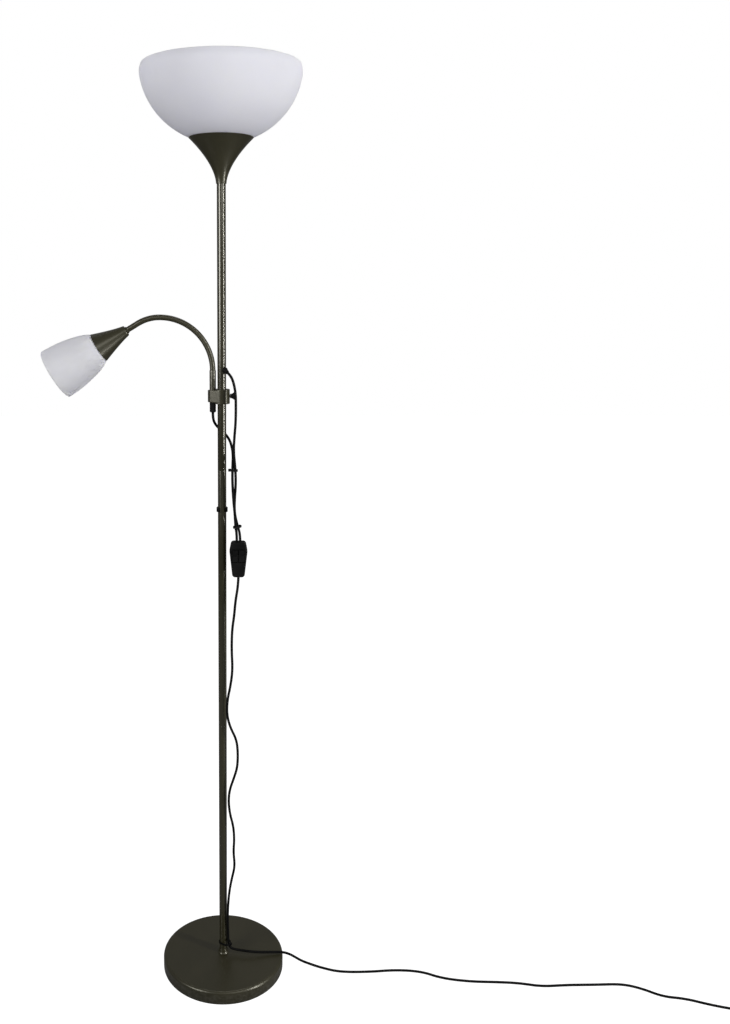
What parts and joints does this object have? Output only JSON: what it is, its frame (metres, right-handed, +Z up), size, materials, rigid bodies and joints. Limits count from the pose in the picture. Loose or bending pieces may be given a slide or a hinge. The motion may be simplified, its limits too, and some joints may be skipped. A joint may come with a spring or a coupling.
{
  "type": "torchiere floor lamp with reading light",
  "caption": "Floor lamp with a round weighted foot, a slim pole, an upward opal bowl shade, and a clamped flexible neck that carries a small bell-shaped reading shade.",
  "frame": {"origin": "centre of the foot on the floor, under the pole's axis", "axes": "+Z up along the pole, -Y the front that the picture shows, -X towards the reading head"},
  "size_m": [1.4091, 0.4365, 1.76],
  "materials": {
    "frame_paint": "satin, dark olive grey",
    "black_plastic": "fine matt grain",
    "cord_jacket": "smooth black cord jacket",
    "opal": "opal white, lets light through",
    "zinc_steel": "zinc plated",
    "brass": "bright",
    "cast_weight": "rough cast cement",
    "foot_pad": "thin foam rubber sheet",
    "holder": "off-white lampholder",
    "bulb_glass": "frosted"
  },
  "bodies": {
    "root": {"base_pad": "foot_pad", "base_weight": "cast_weight", "base_cover": "frame_paint", "foot_stud": "zinc_steel", "foot_nut": "zinc_steel", "foot_collar": "frame_paint", "pole_lower": "frame_paint", "pole_middle": "frame_paint", "pole_upper": "frame_paint", "pole_joiners": "zinc_steel", "pole_plugs": "black_plastic", "pole_clip": "black_plastic", "exit_bush": "black_plastic", "uplight_cup": "frame_paint", "uplight_nipple": "zinc_steel", "uplight_lampholder": "holder", "uplight_shade_ring": "holder", "uplight_shade": "opal", "uplight_bulb_glass": "bulb_glass", "uplight_bulb_cap": "zinc_steel", "pole_lead": "cord_jacket", "uplight_cord": "cord_jacket", "arm_cord_lower": "cord_jacket", "mains_cord": "cord_jacket", "mains_coil": "cord_jacket", "mains_tail": "cord_jacket", "plug_body": "black_plastic", "plug_pins": "brass", "cord_ties": "black_plastic", "foot_tie": "black_plastic", "coil_tie": "black_plastic", "switch_base": "black_plastic", "switch_cover": "black_plastic", "switch_metalwork": "zinc_steel", "switch_terminals": "brass"},
    "liner": {"clamp_liner": "black_plastic"},
    "clamp": {"clamp_body": "frame_paint", "neck_ferrule": "frame_paint", "arm_gland": "black_plastic", "arm_cord_upper": "cord_jacket"},
    "knob": {"clamp_screw": "zinc_steel", "clamp_knob": "black_plastic"},
    "neck_1": {"neck_link_1": "frame_paint"},
    "neck_2": {"neck_link_2": "frame_paint"},
    "neck_3": {"neck_link_3": "frame_paint"},
    "neck_4": {"neck_link_4": "frame_paint"},
    "neck_5": {"neck_link_5": "frame_paint"},
    "neck_6": {"neck_link_6": "frame_paint"},
    "neck_7": {"neck_link_7": "frame_paint"},
    "neck_8": {"neck_link_8": "frame_paint"},
    "neck_9": {"neck_link_9": "frame_paint"},
    "head": {"neck_end": "frame_paint", "head_cup": "frame_paint", "head_lampholder": "holder", "head_shade_ring": "holder", "head_shade": "opal", "head_bulb_glass": "bulb_glass", "head_bulb_cap": "zinc_steel"},
    "uplight_key": {"uplight_rocker": "black_plastic"},
    "arm_key": {"arm_rocker": "black_plastic"}
  },
  "joints": [
    {"name": "clamp_slide", "type": "slide", "parent": "root", "child": "liner", "axis": [0, 0, 1], "range_m": [-0.05, 0.02], "deforming": ["arm_cord_lower"]},
    {"name": "clamp_swing", "type": "hinge", "parent": "liner", "child": "clamp", "pos_m": [0, 0, 1.1953], "axis": [0, 0, 1], "range_deg": [-170, 80], "deforming": ["arm_cord_upper"]},
    {"name": "knob_turn", "type": "hinge", "parent": "clamp", "child": "knob", "pos_m": [0.0152, 0, 1.196], "axis": [1, 0, 0], "range_deg": [-360, 0]},
    {"name": "neck_bend", "type": "hinge", "parent": "clamp", "child": "neck_1", "pos_m": [-0.0166, 0, 1.25277], "axis": [0.0005, -1, 0.0003], "range_deg": [-16, 6]},
    {"name": "neck_side", "type": "hinge", "parent": "neck_1", "child": "neck_2", "pos_m": [-0.02082, 0, 1.27246], "axis": [0.9502, 0, 0.3115], "range_deg": [-10, 10]},
    {"name": "neck_bend_2", "type": "hinge", "parent": "neck_2", "child": "neck_3", "pos_m": [-0.02908, 0, 1.29083], "axis": [0.0005, -1, 0.0003], "range_deg": [-16, 6]},
    {"name": "neck_side_2", "type": "hinge", "parent": "neck_3", "child": "neck_4", "pos_m": [-0.041, 0, 1.30706], "axis": [0.739, 0, 0.6737], "range_deg": [-10, 10]},
    {"name": "neck_bend_3", "type": "hinge", "parent": "neck_4", "child": "neck_5", "pos_m": [-0.05606, 0, 1.32043], "axis": [0.0005, -1, 0.0003], "range_deg": [-16, 6]},
    {"name": "neck_side_3", "type": "hinge", "parent": "neck_5", "child": "neck_6", "pos_m": [-0.07358, 0, 1.33034], "axis": [0.3979, 0, 0.9174], "range_deg": [-10, 10]},
    {"name": "neck_bend_4", "type": "hinge", "parent": "neck_6", "child": "neck_7", "pos_m": [-0.0928, 0, 1.33636], "axis": [0.0005, -1, 0.0003], "range_deg": [-16, 6]},
    {"name": "neck_side_4", "type": "hinge", "parent": "neck_7", "child": "neck_8", "pos_m": [-0.11285, 0, 1.33822], "axis": [-0.0131, 0, 0.9999], "range_deg": [-10, 10]},
    {"name": "neck_bend_5", "type": "hinge", "parent": "neck_8", "child": "neck_9", "pos_m": [-0.12927, 0, 1.33627], "axis": [0.0005, -1, 0.0003], "range_deg": [-16, 6]},
    {"name": "neck_side_5", "type": "hinge", "parent": "neck_9", "child": "head", "pos_m": [-0.14491, 0, 1.33091], "axis": [-0.4218, 0, 0.9067], "range_deg": [-10, 10]},
    {"name": "uplight_press", "type": "hinge", "parent": "root", "child": "uplight_key", "pos_m": [0.0246, -0.026, 0.899], "axis": [1, 0, 0], "range_deg": [-16, 0]},
    {"name": "arm_press", "type": "hinge", "parent": "root", "child": "arm_key", "pos_m": [0.037, -0.026, 0.899], "axis": [1, 0, 0], "range_deg": [-16, 0]}
  ],
  "couplings": [
    {"joint": "neck_bend_2", "follows": "neck_bend", "ratio": 1},
    {"joint": "neck_side_2", "follows": "neck_side", "ratio": 1},
    {"joint": "neck_bend_3", "follows": "neck_bend", "ratio": 1},
    {"joint": "neck_side_3", "follows": "neck_side", "ratio": 1},
    {"joint": "neck_bend_4", "follows": "neck_bend", "ratio": 1},
    {"joint": "neck_side_4", "follows": "neck_side", "ratio": 1},
    {"joint": "neck_bend_5", "follows": "neck_bend", "ratio": 1},
    {"joint": "neck_side_5", "follows": "neck_side", "ratio": 1}
  ]
}
